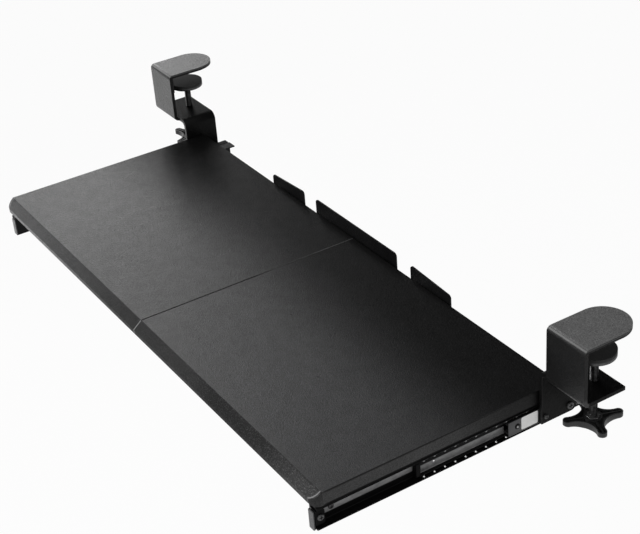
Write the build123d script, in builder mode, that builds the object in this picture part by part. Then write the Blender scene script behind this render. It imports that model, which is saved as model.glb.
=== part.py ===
# Under-desk keyboard tray: a two-piece platform on telescopic ball rails, hung from two desk-edge clamps.
# Millimetres. X runs right, Y towards the back of the desk and Z up. The origin is midway between the
# clamps, on the desk's top at its front edge. The tray is drawn pulled out to its stop.
# Every left-hand piece is the mirror of its right-hand one.
import os
from math import atan2, cos, degrees, radians, sin, sqrt

from build123d import *

os.makedirs("parts", exist_ok=True)

# Platform
platform_width = 685.0
platform_depth = 271.0
platform_thickness = 15.4
platform_drop = 76.3
rear_edge = 23.0
bevel_run = 10.0
bevel_drop = 8.0
nose_chamfer = 2.7
platform_corner = 10.0
rear_corner = 3.0
seam_gap = 0.5

# Back stops
stop_sheet = 1.5
stop_gap = 2.0
stop_bend = 1.5
stop_corner = 4.0
stop_foot = 24.0
centre_stop_width = 158.0
centre_stop_rise = 15.5
side_stop_inner = 105.0
side_stop_outer = 174.0
side_stop_high = 14.0
side_stop_low = 9.5

# Joining plates under the seam, and the screws under the platform
joiner_length = 90.0
joiner_width = 36.0
joiner_sheet = 2.0
joiner_corner = 4.0
front_joiner_inset = 43.0
rear_joiner_inset = 63.0
joiner_screw_x = 66.0
joiner_screw_y = 20.0
stop_screw_inset = 7.0
bracket_screw_front = 30.0
bracket_screw_rear = 20.0
screw_head = 7.4
screw_head_height = 1.9
head_sides = 12

# Telescopic rail, across its section
side_clearance = 1.0
rail_depth = 12.7
rail_height = 25.0
rail_sheet = 1.2
rail_gap = 1.0
rail_bend = 1.5
ball_diameter = 2.8
ball_clearance = 0.3
ball_belt = 22.5
fit_clearance = 0.1
ball_inset = 4.0
lip_turn = 72.0
cage_sheet = 0.5
cage_gap = 0.5
cage_reach = 1.3
middle_gap = 0.8
middle_step = 1.15
middle_bend = 1.2
middle_lip_turn = 12.0
inner_ball_diameter = 1.9
inner_ball_line = 5.8
inner_cage_web = 4.7
inner_cage_reach = 1.0
leg_line = 5.2
fixed_web_height = 15.5
leg_bend = 0.5

# Telescopic rail, along its run
rail_front_inset = 3.5
rail_rear_reach = 28.0
middle_rear_inset = 2.0
fixed_rear_inset = 2.5
fixed_reach = 36.0
stop_clearance = 1.0
middle_stop_length = 5.0
middle_stop_cap = 3.5
stop_cap_lead = 1.0
stop_cap_inset = 0.5
stop_cap_chamfer = 1.0
ball_pitch = 11.7
balls_in_row = 11
cage_inset = 1.1
cage_end = 2.2
inner_ball_pitch = 10.8
inner_balls_in_row = 4
inner_cage_inset = 0.55
inner_cage_end = 1.8

# Rail bracket, bumper and rail screws
bracket_sheet = 1.5
bracket_bend = 1.5
bracket_foot = 14.8
bracket_skirt = 2.1
front_flange_width = 8.0
front_flange_top = 5.9
bumper_length = 9.0
bumper_height = 16.0
bumper_depth = 7.5
bumper_corner = 2.0
bumper_screw_head = 7.0
cross_head = 6.0
cross_head_height = 1.4
cross_head_chamfer = 0.7
front_screw_inset = 19.8
rear_screw_inset = 25.0

# Clamp bracket
clamp_sheet = 4.0
hook_width = 51.0
hook_inset = 16.5
hook_reach = 62.5
hook_bend = 5.0
plate_bend = 6.0
side_bend = 9.0
relief_radius = 2.0
clamp_throat = 51.8
plate_rear = 42.0
side_front = -0.5
side_skirt = 7.4
side_corner = 7.0
liner_top = 2.0
liner_front = 2.5
liner_drop = 19.3
liner_inset = 3.5
liner_bend = 1.2

# Clamp screw, its nut, pad and star knob
desk_thickness = 18.0
screw_y = 28.0
rod_diameter = 8.0
rod_clearance = 0.3
nut_flats = 13.0
nut_height = 6.5
pad_diameter = 40.0
pad_plate = 3.0
pad_rubber = 3.2
pad_socket = 14.0
socket_depth = 2.4
knob_height = 6.8
knob_tip_height = 4.6
knob_drop = 30.2
knob_radius = 28.8
knob_tip = 4.4
knob_waist = 13.0
knob_flat = 12.0
knob_wall = 1.5
knob_floor = 1.6
knob_rib = 1.2
hub_diameter = 17.0
insert_flats = 12.0
insert_proud = 0.6
insert_clearance = 0.05
knob_turn = -21.5

# Screws and rivet of the fixed rail
front_side_inset = 4.7
rear_side_inset = 8.7
front_side_head = 4.8
rear_side_head = 8.0
side_head_height = 2.2
side_head_chamfer = 0.6
rivet_inset = 10.5
rivet_head = 6.0
rivet_rise = 0.9
rivet_chamfer = 0.5

# Planes and lines that several pieces share
platform_top = -platform_drop
platform_bottom = platform_top - platform_thickness
front_edge = rear_edge - platform_depth
crease = front_edge + bevel_run
half_width = platform_width / 2
side_inner = half_width + side_clearance
side_outer = side_inner + clamp_sheet
rail_mid = platform_bottom - rail_gap - rail_height / 2
rail_root = side_inner - rail_depth
rail_front = front_edge + rail_front_inset
rail_rear = rear_edge + rail_rear_reach
bracket_bottom = rail_mid - rail_height / 2 - bracket_skirt
fixed_front = side_front - fixed_reach
slide_travel = fixed_front - rail_front - bumper_length - middle_stop_length - 2 * stop_clearance
middle_front = rail_front + bumper_length + slide_travel / 2 + stop_clearance + middle_stop_cap
middle_rear = rail_rear - middle_rear_inset
fixed_rear = rail_rear - fixed_rear_inset
first_ball = middle_front + cage_inset + cage_end + ball_diameter / 2
first_inner_ball = fixed_front + inner_cage_inset + inner_cage_end + inner_ball_diameter / 2
front_rail_screw = rail_front + front_screw_inset
rear_rail_screw = rail_rear - rear_screw_inset
rivet_y = fixed_front + rivet_inset

# Section coordinates of the rail: first figure outwards from its root, second figure up from its middle
race_radius = ball_diameter / 2 + ball_clearance + rail_sheet / 2
ball_line = rail_depth - ball_inset
ball_row = rail_height / 2 - rail_sheet / 2 - race_radius
outer_line = rail_height / 2 - rail_sheet / 2
cage_line = rail_sheet + cage_gap + cage_sheet / 2
middle_line = cage_line + cage_sheet / 2 + middle_gap + rail_sheet / 2
middle_flange = ball_row - middle_step
inner_ball_row = middle_flange - rail_sheet / 2 - ball_clearance - inner_ball_diameter / 2
leg_row = inner_ball_row - inner_ball_diameter / 2 - ball_clearance - rail_sheet / 2
ball_x = rail_root + ball_line
inner_ball_x = rail_root + inner_ball_line

# Where the middle rail's small bend meets its ball race
race_span = race_radius + middle_bend
race_rise = middle_step + middle_bend
race_run = sqrt(race_span**2 - race_rise**2)
race_angle = degrees(atan2(race_rise, race_run))
race_sweep = 90 - race_angle + middle_lip_turn
bend_line = ball_line - race_run

# Clamp levels and lines
hook_inner = side_inner + hook_inset
hook_middle = hook_inner + hook_width / 2
hook_under = liner_top
hook_top = hook_under + clamp_sheet
front_face = -liner_front - clamp_sheet
plate_top = -clamp_throat
plate_under = plate_top - clamp_sheet
side_bottom = rail_mid - side_skirt
knob_top = plate_under - nut_height - knob_drop
knob_bottom = knob_top - knob_height
pad_rubber_bottom = -desk_thickness - pad_rubber
pad_bottom = pad_rubber_bottom - pad_plate
front_side_screw = side_front + front_side_inset
rear_side_screw = plate_rear - rear_side_inset

# Screw places under the platform
front_joiner_y = front_edge + front_joiner_inset
rear_joiner_y = rear_edge - rear_joiner_inset
joiner_screws = []
for plate_y in (front_joiner_y, rear_joiner_y):
    for along in (-joiner_screw_x / 2, joiner_screw_x / 2):
        for across in (-joiner_screw_y / 2, joiner_screw_y / 2):
            joiner_screws.append((along, plate_y + across))
stop_front = rear_edge + stop_gap + stop_sheet - stop_foot
stop_screw_y = stop_front + stop_screw_inset
side_stop_middle = (side_stop_inner + side_stop_outer) / 2
side_stop_width = side_stop_outer - side_stop_inner
stop_screws = []
for x in (-side_stop_middle, -centre_stop_width / 4, centre_stop_width / 4, side_stop_middle):
    stop_screws.append((x, stop_screw_y))
bracket_screw_x = rail_root - bracket_foot / 2
front_bracket_screw = front_edge + bracket_screw_front
rear_bracket_screw = rear_edge - bracket_screw_rear
bracket_screws = []
for side in (-1, 1):
    for y in (front_bracket_screw, (front_bracket_screw + rear_bracket_screw) / 2, rear_bracket_screw):
        bracket_screws.append((side * bracket_screw_x, y))

# Right half of the board, with its bevelled nose and rounded corners
with BuildPart() as platform_right:
    with BuildSketch(Plane.YZ.offset(seam_gap / 2)) as board_section:
        with BuildLine():
            Polyline(
                (front_edge, platform_top - bevel_drop),
                (crease, platform_top),
                (rear_edge, platform_top),
                (rear_edge, platform_bottom),
                (front_edge + nose_chamfer, platform_bottom),
                (front_edge, platform_bottom + nose_chamfer),
                close=True,
            )
        make_face()
    extrude(amount=half_width - seam_gap / 2)
    with BuildSketch(Plane.XY.offset(platform_bottom)) as board_plan:
        with BuildLine():
            Polyline(
                (seam_gap / 2, front_edge),
                (half_width, front_edge),
                (half_width, rear_edge),
                (seam_gap / 2, rear_edge),
                close=True,
            )
        make_face()
        outer_corners = board_plan.vertices().group_by(Axis.X)[-1].sort_by(Axis.Y)
        fillet(outer_corners[0], radius=platform_corner)
        fillet(board_plan.vertices().group_by(Axis.X)[-1].sort_by(Axis.Y)[-1], radius=rear_corner)
    extrude(amount=platform_thickness, mode=Mode.INTERSECT)
platform_right.part.label = "platform_right"
export_step(platform_right.part, "parts/platform_right.step")

with BuildPart() as platform_left:
    mirror(platform_right.part, about=Plane.YZ)
platform_left.part.label = "platform_left"
export_step(platform_left.part, "parts/platform_left.step")

# Centre back stop: an upright sheet behind the seam, on a foot under the board
with BuildPart() as backstop_centre:
    with BuildSketch(Plane.YZ.offset(-centre_stop_width / 2)):
        with BuildLine():
            FilletPolyline(
                (stop_front, platform_bottom - stop_sheet / 2),
                (rear_edge + stop_gap + stop_sheet / 2, platform_bottom - stop_sheet / 2),
                (rear_edge + stop_gap + stop_sheet / 2, platform_top + centre_stop_rise),
                radius=stop_bend,
            )
        trace(line_width=stop_sheet)
    extrude(amount=centre_stop_width)
    stop_corners = backstop_centre.edges().filter_by(Axis.Y).group_by(Axis.Z)[-1]
    fillet(stop_corners, radius=stop_corner)
backstop_centre.part.label = "backstop_centre"
export_step(backstop_centre.part, "parts/backstop_centre.step")

# Right back stop: the same sheet, cut lower towards its outer end
with BuildPart() as backstop_right:
    with BuildSketch(Plane.YZ.offset(side_stop_inner)):
        with BuildLine():
            FilletPolyline(
                (stop_front, platform_bottom - stop_sheet / 2),
                (rear_edge + stop_gap + stop_sheet / 2, platform_bottom - stop_sheet / 2),
                (rear_edge + stop_gap + stop_sheet / 2, platform_top + side_stop_high),
                radius=stop_bend,
            )
        trace(line_width=stop_sheet)
    extrude(amount=side_stop_width)
    with BuildSketch(Plane.XZ.offset(-rear_edge - stop_gap - stop_sheet)) as stop_elevation:
        with BuildLine():
            Polyline(
                (side_stop_inner, platform_bottom - stop_sheet),
                (side_stop_outer, platform_bottom - stop_sheet),
                (side_stop_outer, platform_top + side_stop_low),
                (side_stop_inner, platform_top + side_stop_high),
                close=True,
            )
        make_face()
        fillet(stop_elevation.vertices().sort_by(Axis.Y)[-2:], radius=stop_corner)
    extrude(amount=stop_foot, mode=Mode.INTERSECT)
backstop_right.part.label = "backstop_right"
export_step(backstop_right.part, "parts/backstop_right.step")

with BuildPart() as backstop_left:
    mirror(backstop_right.part, about=Plane.YZ)
backstop_left.part.label = "backstop_left"
export_step(backstop_left.part, "parts/backstop_left.step")

# Front and rear joining plates across the seam
with BuildPart() as joining_plate_front:
    with BuildSketch(Plane.XY.offset(platform_bottom - joiner_sheet)) as front_joiner:
        with Locations((0, front_joiner_y)):
            Rectangle(joiner_length, joiner_width)
        chamfer(front_joiner.vertices(), length=joiner_corner)
    extrude(amount=joiner_sheet)
joining_plate_front.part.label = "joining_plate_front"
export_step(joining_plate_front.part, "parts/joining_plate_front.step")

with BuildPart() as joining_plate_rear:
    with BuildSketch(Plane.XY.offset(platform_bottom - joiner_sheet)) as rear_joiner:
        with Locations((0, rear_joiner_y)):
            Rectangle(joiner_length, joiner_width)
        chamfer(rear_joiner.vertices(), length=joiner_corner)
    extrude(amount=joiner_sheet)
joining_plate_rear.part.label = "joining_plate_rear"
export_step(joining_plate_rear.part, "parts/joining_plate_rear.step")

# Hexagon screw heads under the platform, one solid each, seated on the plates that they hold
with BuildPart() as platform_screws:
    for places, sheet in (
        (joiner_screws, joiner_sheet),
        (stop_screws, stop_sheet),
        (bracket_screws, bracket_sheet),
    ):
        with BuildSketch(Plane.XY.offset(platform_bottom - sheet - screw_head_height)):
            with Locations(*places):
                RegularPolygon(screw_head / 2, 6)
        extrude(amount=screw_head_height)
platform_screws.part.label = "platform_screws"
export_step(platform_screws.part, "parts/platform_screws.step")

# Right rail bracket: an angle under the board, with a flange across the front of the rail
with BuildPart() as right_rail_bracket:
    with BuildSketch(Plane.XZ.offset(-rail_rear)):
        with BuildLine():
            FilletPolyline(
                (rail_root - bracket_foot, platform_bottom - bracket_sheet / 2),
                (rail_root - bracket_sheet / 2, platform_bottom - bracket_sheet / 2),
                (rail_root - bracket_sheet / 2, bracket_bottom),
                radius=bracket_bend,
            )
        trace(line_width=bracket_sheet)
    extrude(amount=rail_rear - rail_front)
    with BuildSketch(Plane.XZ.offset(-rail_front)) as front_flange:
        with BuildLine():
            Polyline(
                (rail_root - bracket_sheet, bracket_bottom),
                (rail_root - bracket_sheet + front_flange_width, bracket_bottom),
                (rail_root - bracket_sheet + front_flange_width, rail_mid + front_flange_top),
                (rail_root - bracket_sheet, rail_mid + front_flange_top),
                close=True,
            )
        make_face()
        fillet(front_flange.vertices().group_by(Axis.X)[-1], radius=bracket_bend)
    extrude(amount=bracket_sheet)
right_rail_bracket.part.label = "right_rail_bracket"
export_step(right_rail_bracket.part, "parts/right_rail_bracket.step")

with BuildPart() as left_rail_bracket:
    mirror(right_rail_bracket.part, about=Plane.YZ)
left_rail_bracket.part.label = "left_rail_bracket"
export_step(left_rail_bracket.part, "parts/left_rail_bracket.step")

# The rail's section plane: local X outwards from the root, local Y up from the middle, looking forwards
rail_section = Plane(origin=(rail_root, 0, rail_mid), x_dir=(1, 0, 0), z_dir=(0, -1, 0))

# Right outer rail: a channel whose edges curl round the two rows of outer balls
with BuildPart() as right_rail_outer:
    with BuildSketch(rail_section.offset(-rail_rear)):
        with BuildLine():
            FilletPolyline(
                (rail_sheet / 2, 0),
                (rail_sheet / 2, outer_line),
                (ball_line, outer_line),
                radius=rail_bend,
            )
            CenterArc((ball_line, ball_row), race_radius, 90, -lip_turn)
        trace(line_width=rail_sheet)
        mirror(about=Plane.XZ)
    extrude(amount=rail_rear - rail_front)
right_rail_outer.part.label = "right_rail_outer"
export_step(right_rail_outer.part, "parts/right_rail_outer.step")

with BuildPart() as left_rail_outer:
    mirror(right_rail_outer.part, about=Plane.YZ)
left_rail_outer.part.label = "left_rail_outer"
export_step(left_rail_outer.part, "parts/left_rail_outer.step")

# Right middle rail: its edges step in, then curl under the outer balls and over the inner ones
with BuildPart() as right_rail_middle:
    with BuildSketch(rail_section.offset(-middle_rear)):
        with BuildLine():
            FilletPolyline(
                (middle_line, 0),
                (middle_line, middle_flange),
                (bend_line, middle_flange),
                radius=middle_bend,
            )
            CenterArc((bend_line, middle_flange - middle_bend), middle_bend, 90, race_angle - 90)
            CenterArc((ball_line, ball_row), race_radius, 180 + race_angle, race_sweep)
        trace(line_width=rail_sheet)
        mirror(about=Plane.XZ)
    extrude(amount=middle_rear - middle_front)
right_rail_middle.part.label = "right_rail_middle"
export_step(right_rail_middle.part, "parts/right_rail_middle.step")

with BuildPart() as left_rail_middle:
    mirror(right_rail_middle.part, about=Plane.YZ)
left_rail_middle.part.label = "left_rail_middle"
export_step(left_rail_middle.part, "parts/left_rail_middle.step")

# Right outer ball cage: a thin channel with an open notch for each ball
cage_front = first_ball - ball_diameter / 2 - cage_end
cage_rear = first_ball + (balls_in_row - 1) * ball_pitch + ball_diameter / 2 + cage_end
notch_reach = 2 * ball_diameter + cage_reach
notch_width = ball_diameter + 2 * fit_clearance
with BuildPart() as right_rail_cage:
    with BuildSketch(rail_section.offset(-cage_rear)):
        with BuildLine():
            Polyline(
                (cage_line, 0),
                (cage_line, ball_row),
                (ball_line + cage_reach, ball_row),
            )
        trace(line_width=cage_sheet)
        mirror(about=Plane.XZ)
    extrude(amount=cage_rear - cage_front)
    with BuildSketch(Plane.XY.offset(rail_mid - ball_row - cage_sheet)):
        for place in range(balls_in_row):
            with Locations((ball_x - ball_diameter / 2 - fit_clearance, first_ball + place * ball_pitch)):
                Rectangle(notch_reach, notch_width, align=(Align.MIN, Align.CENTER))
    extrude(amount=2 * ball_row + 2 * cage_sheet, mode=Mode.SUBTRACT)
right_rail_cage.part.label = "right_rail_cage"
export_step(right_rail_cage.part, "parts/right_rail_cage.step")

with BuildPart() as left_rail_cage:
    mirror(right_rail_cage.part, about=Plane.YZ)
left_rail_cage.part.label = "left_rail_cage"
export_step(left_rail_cage.part, "parts/left_rail_cage.step")

# One outer ball and one inner ball, cut with few flat faces because they repeat
belt_radius = cos(radians(ball_belt))
cap_radius = sin(radians(ball_belt))
flat_share = cos(radians(30))
with BuildPart() as outer_ball:
    with BuildSketch(Plane.XY.offset(-ball_diameter / 2 * belt_radius)):
        RegularPolygon(ball_diameter / 2 * belt_radius, 6)
    extrude(amount=ball_diameter * belt_radius)
    chamfer(
        outer_ball.faces().filter_by(Axis.Z).edges(),
        length=ball_diameter / 2 * (belt_radius - cap_radius) * flat_share,
    )

with BuildPart() as inner_ball:
    with BuildSketch(Plane.XY.offset(-inner_ball_diameter / 2 * belt_radius)):
        RegularPolygon(inner_ball_diameter / 2 * belt_radius, 6)
    extrude(amount=inner_ball_diameter * belt_radius)
    chamfer(
        inner_ball.faces().filter_by(Axis.Z).edges(),
        length=inner_ball_diameter / 2 * (belt_radius - cap_radius) * flat_share,
    )

# Right outer balls, one solid each
with BuildPart() as right_rail_balls:
    for level in (rail_mid - ball_row, rail_mid + ball_row):
        for place in range(balls_in_row):
            with Locations((ball_x, first_ball + place * ball_pitch, level)):
                add(outer_ball.part)
right_rail_balls.part.label = "right_rail_balls"
export_step(right_rail_balls.part, "parts/right_rail_balls.step")

with BuildPart() as left_rail_balls:
    mirror(right_rail_balls.part, about=Plane.YZ)
left_rail_balls.part.label = "left_rail_balls"
export_step(left_rail_balls.part, "parts/left_rail_balls.step")

# Right inner ball cage
inner_cage_front = first_inner_ball - inner_ball_diameter / 2 - inner_cage_end
inner_row_length = (inner_balls_in_row - 1) * inner_ball_pitch
inner_cage_rear = first_inner_ball + inner_row_length + inner_ball_diameter / 2 + inner_cage_end
inner_notch_reach = 2 * inner_ball_diameter + inner_cage_reach
inner_notch_width = inner_ball_diameter + 2 * fit_clearance
inner_notch_x = inner_ball_x - inner_ball_diameter / 2 - fit_clearance
with BuildPart() as right_inner_cage:
    with BuildSketch(rail_section.offset(-inner_cage_rear)):
        with BuildLine():
            Polyline(
                (inner_cage_web, 0),
                (inner_cage_web, inner_ball_row),
                (inner_ball_line + inner_cage_reach, inner_ball_row),
            )
        trace(line_width=cage_sheet)
        mirror(about=Plane.XZ)
    extrude(amount=inner_cage_rear - inner_cage_front)
    with BuildSketch(Plane.XY.offset(rail_mid - inner_ball_row - cage_sheet)):
        for place in range(inner_balls_in_row):
            with Locations((inner_notch_x, first_inner_ball + place * inner_ball_pitch)):
                Rectangle(inner_notch_reach, inner_notch_width, align=(Align.MIN, Align.CENTER))
    extrude(amount=2 * inner_ball_row + 2 * cage_sheet, mode=Mode.SUBTRACT)
right_inner_cage.part.label = "right_inner_cage"
export_step(right_inner_cage.part, "parts/right_inner_cage.step")

with BuildPart() as left_inner_cage:
    mirror(right_inner_cage.part, about=Plane.YZ)
left_inner_cage.part.label = "left_inner_cage"
export_step(left_inner_cage.part, "parts/left_inner_cage.step")

# Right inner balls, one solid each
with BuildPart() as right_inner_balls:
    for level in (rail_mid - inner_ball_row, rail_mid + inner_ball_row):
        for place in range(inner_balls_in_row):
            with Locations((inner_ball_x, first_inner_ball + place * inner_ball_pitch, level)):
                add(inner_ball.part)
right_inner_balls.part.label = "right_inner_balls"
export_step(right_inner_balls.part, "parts/right_inner_balls.step")

with BuildPart() as left_inner_balls:
    mirror(right_inner_balls.part, about=Plane.YZ)
left_inner_balls.part.label = "left_inner_balls"
export_step(left_inner_balls.part, "parts/left_inner_balls.step")

# Right middle-rail stop: a moulded plug in the rail's front end, with a cap in front of the sheet
plug_line = middle_line + rail_sheet / 2
plug_half = ball_row - race_radius - rail_sheet / 2 - fit_clearance
cap_depth = ball_line + stop_cap_lead - middle_line
with BuildPart() as right_middle_stop:
    with BuildSketch(rail_section.offset(-middle_front)):
        with Locations((plug_line, 0)):
            Rectangle(ball_line - plug_line, 2 * plug_half, align=(Align.MIN, Align.CENTER))
    extrude(amount=-(middle_stop_length - middle_stop_cap))
    with BuildSketch(rail_section.offset(-middle_front)) as stop_cap:
        with Locations((middle_line - rail_sheet / 2, 0)):
            Rectangle(cap_depth, 2 * (middle_flange - stop_cap_inset), align=(Align.MIN, Align.CENTER))
        chamfer(stop_cap.vertices(), length=stop_cap_chamfer)
    extrude(amount=middle_stop_cap)
right_middle_stop.part.label = "right_middle_stop"
export_step(right_middle_stop.part, "parts/right_middle_stop.step")

with BuildPart() as left_middle_stop:
    mirror(right_middle_stop.part, about=Plane.YZ)
left_middle_stop.part.label = "left_middle_stop"
export_step(left_middle_stop.part, "parts/left_middle_stop.step")

# Right fixed rail: a web against the clamp and two legs that carry the inner balls
with BuildPart() as right_rail_fixed:
    with BuildSketch(rail_section.offset(-fixed_rear)):
        with Locations((rail_depth - rail_sheet, 0)):
            Rectangle(rail_sheet, fixed_web_height, align=(Align.MIN, Align.CENTER))
        for side in (-1, 1):
            with Locations((leg_line, side * leg_row)):
                Rectangle(rail_depth - rail_sheet - leg_line, rail_sheet, align=(Align.MIN, Align.CENTER))
    extrude(amount=fixed_rear - fixed_front)
    web_edges = right_rail_fixed.edges().filter_by(Axis.Y).group_by(Axis.X)[-2].sort_by(Axis.Z)
    fillet(web_edges[1:-1], radius=leg_bend)
right_rail_fixed.part.label = "right_rail_fixed"
export_step(right_rail_fixed.part, "parts/right_rail_fixed.step")

with BuildPart() as left_rail_fixed:
    mirror(right_rail_fixed.part, about=Plane.YZ)
left_rail_fixed.part.label = "left_rail_fixed"
export_step(left_rail_fixed.part, "parts/left_rail_fixed.step")

# Right rivet head near the front of the fixed rail
with BuildPart() as right_rail_rivet:
    with BuildSketch(Plane.YZ.offset(side_inner)):
        with Locations((rivet_y, rail_mid)):
            RegularPolygon(rivet_head / 2, head_sides)
    extrude(amount=rivet_rise)
    chamfer(right_rail_rivet.faces().sort_by(Axis.X)[-1].edges(), length=rivet_chamfer)
right_rail_rivet.part.label = "right_rail_rivet"
export_step(right_rail_rivet.part, "parts/right_rail_rivet.step")

with BuildPart() as left_rail_rivet:
    mirror(right_rail_rivet.part, about=Plane.YZ)
left_rail_rivet.part.label = "left_rail_rivet"
export_step(left_rail_rivet.part, "parts/left_rail_rivet.step")

# Right bumper in the front of the outer rail
bumper_y = rail_front + bumper_length / 2
with BuildPart() as right_rail_bumper:
    with BuildSketch(Plane.YZ.offset(rail_root + rail_sheet)) as bumper_outline:
        with Locations((bumper_y, rail_mid)):
            Rectangle(bumper_length, bumper_height)
        fillet(bumper_outline.vertices().group_by(Axis.X)[-1], radius=bumper_corner)
    extrude(amount=bumper_depth)
right_rail_bumper.part.label = "right_rail_bumper"
export_step(right_rail_bumper.part, "parts/right_rail_bumper.step")

with BuildPart() as left_rail_bumper:
    mirror(right_rail_bumper.part, about=Plane.YZ)
left_rail_bumper.part.label = "left_rail_bumper"
export_step(left_rail_bumper.part, "parts/left_rail_bumper.step")

# Right bumper screw's head
bumper_face = rail_root + rail_sheet + bumper_depth
with BuildPart() as right_bumper_screw:
    with BuildSketch(Plane.YZ.offset(bumper_face)):
        with Locations((bumper_y, rail_mid)):
            RegularPolygon(bumper_screw_head / 2, head_sides)
    extrude(amount=cross_head_height)
    chamfer(right_bumper_screw.faces().sort_by(Axis.X)[-1].edges(), length=cross_head_chamfer)
right_bumper_screw.part.label = "right_bumper_screw"
export_step(right_bumper_screw.part, "parts/right_bumper_screw.step")

with BuildPart() as left_bumper_screw:
    mirror(right_bumper_screw.part, about=Plane.YZ)
left_bumper_screw.part.label = "left_bumper_screw"
export_step(left_bumper_screw.part, "parts/left_bumper_screw.step")

# Right rail screws: low heads on the outer rail's web, clear of the middle rail's path
with BuildPart() as right_rail_screws:
    with BuildSketch(Plane.YZ.offset(rail_root + rail_sheet)):
        with Locations((front_rail_screw, rail_mid), (rear_rail_screw, rail_mid)):
            RegularPolygon(cross_head / 2, head_sides)
    extrude(amount=cross_head_height)
    chamfer(right_rail_screws.faces().group_by(Axis.X)[-1].edges(), length=cross_head_chamfer)
right_rail_screws.part.label = "right_rail_screws"
export_step(right_rail_screws.part, "parts/right_rail_screws.step")

with BuildPart() as left_rail_screws:
    mirror(right_rail_screws.part, about=Plane.YZ)
left_rail_screws.part.label = "left_rail_screws"
export_step(left_rail_screws.part, "parts/left_rail_screws.step")

# Right clamp bracket: one sheet bent into hook, front plate, bottom plate and side plate
hook_line = hook_top - clamp_sheet / 2
front_line = front_face + clamp_sheet / 2
plate_line = plate_under + clamp_sheet / 2
side_line = side_inner + clamp_sheet / 2
hook_turn = hook_bend - clamp_sheet / 2
plate_turn = plate_bend - clamp_sheet / 2
tip_y = hook_reach - hook_width / 2
strip_inner = hook_inner - relief_radius
with BuildPart() as right_clamp_bracket:
    with BuildSketch(Plane.YZ.offset(strip_inner)):
        with BuildLine():
            Line((tip_y, hook_line), (front_line + hook_turn, hook_line))
            CenterArc((front_line + hook_turn, hook_line - hook_turn), hook_turn, 90, 90)
            Line((front_line, hook_line - hook_turn), (front_line, plate_line + plate_turn))
            CenterArc((front_line + plate_turn, plate_line + plate_turn), plate_turn, 180, 90)
            Line((front_line + plate_turn, plate_line), (plate_rear, plate_line))
        trace(line_width=clamp_sheet)
    extrude(amount=hook_width + relief_radius)
    # the strip beside the hook keeps only its bottom plate, with a round relief at the corner
    with BuildSketch(Plane.YZ.offset(strip_inner)):
        with Locations((front_face, plate_top)):
            Rectangle(hook_reach - front_face, hook_top - plate_top, align=(Align.MIN, Align.MIN))
    extrude(amount=relief_radius, mode=Mode.SUBTRACT)
    with BuildSketch(Plane.XY.offset(plate_under)):
        with Locations((strip_inner, side_front - relief_radius)):
            Circle(relief_radius)
        with Locations((strip_inner, front_face)):
            Rectangle(relief_radius, side_front - relief_radius - front_face, align=(Align.MIN, Align.MIN))
    extrude(amount=clamp_sheet + plate_bend, mode=Mode.SUBTRACT)
    # round tip of the hook
    with BuildSketch(Plane.XY.offset(hook_under)):
        with Locations((hook_middle, tip_y)):
            Circle(hook_width / 2)
    extrude(amount=clamp_sheet)
    # side plate, bent down from the bottom plate
    with BuildSketch(Plane.XZ.offset(-plate_rear)):
        with BuildLine():
            FilletPolyline(
                (hook_inner, plate_line),
                (side_line, plate_line),
                (side_line, side_bottom),
                radius=side_bend - clamp_sheet / 2,
            )
        trace(line_width=clamp_sheet)
    extrude(amount=plate_rear - side_front)
    lower_corners = right_clamp_bracket.edges().filter_by(Axis.X).group_by(Axis.Z)[0].sort_by(Axis.Y)
    fillet(lower_corners[-1], radius=side_corner)
    with BuildSketch(Plane.XY.offset(plate_under)):
        with Locations((hook_middle, screw_y)):
            Circle(rod_diameter / 2 + rod_clearance)
    extrude(amount=clamp_sheet, mode=Mode.SUBTRACT)
right_clamp_bracket.part.label = "right_clamp_bracket"
export_step(right_clamp_bracket.part, "parts/right_clamp_bracket.step")

with BuildPart() as left_clamp_bracket:
    mirror(right_clamp_bracket.part, about=Plane.YZ)
left_clamp_bracket.part.label = "left_clamp_bracket"
export_step(left_clamp_bracket.part, "parts/left_clamp_bracket.step")

# Right liner under the hook and behind the front plate
with BuildPart() as right_clamp_liner:
    with BuildSketch(Plane.YZ.offset(hook_inner + liner_inset)) as liner_section:
        with BuildLine():
            Polyline(
                (tip_y, 0),
                (0, 0),
                (0, -liner_drop),
                (-liner_front, -liner_drop),
                (-liner_front, liner_top),
                (tip_y, liner_top),
                close=True,
            )
        make_face()
        fillet(liner_section.vertices().group_by(Axis.Y)[-1].sort_by(Axis.X)[0], radius=liner_bend)
    extrude(amount=hook_width - 2 * liner_inset)
    with BuildSketch(Plane.XY):
        with Locations((hook_middle, tip_y)):
            Circle(hook_width / 2 - liner_inset)
    extrude(amount=liner_top)
right_clamp_liner.part.label = "right_clamp_liner"
export_step(right_clamp_liner.part, "parts/right_clamp_liner.step")

with BuildPart() as left_clamp_liner:
    mirror(right_clamp_liner.part, about=Plane.YZ)
left_clamp_liner.part.label = "left_clamp_liner"
export_step(left_clamp_liner.part, "parts/left_clamp_liner.step")

# Right weld nut under the bottom plate
with BuildPart() as right_clamp_nut:
    with BuildSketch(Plane.XY.offset(plate_under - nut_height)):
        with Locations((hook_middle, screw_y)):
            RegularPolygon(nut_flats / 2, 6, major_radius=False)
            Circle(rod_diameter / 2 + rod_clearance, mode=Mode.SUBTRACT)
    extrude(amount=nut_height)
right_clamp_nut.part.label = "right_clamp_nut"
export_step(right_clamp_nut.part, "parts/right_clamp_nut.step")

with BuildPart() as left_clamp_nut:
    mirror(right_clamp_nut.part, about=Plane.YZ)
left_clamp_nut.part.label = "left_clamp_nut"
export_step(left_clamp_nut.part, "parts/left_clamp_nut.step")

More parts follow.
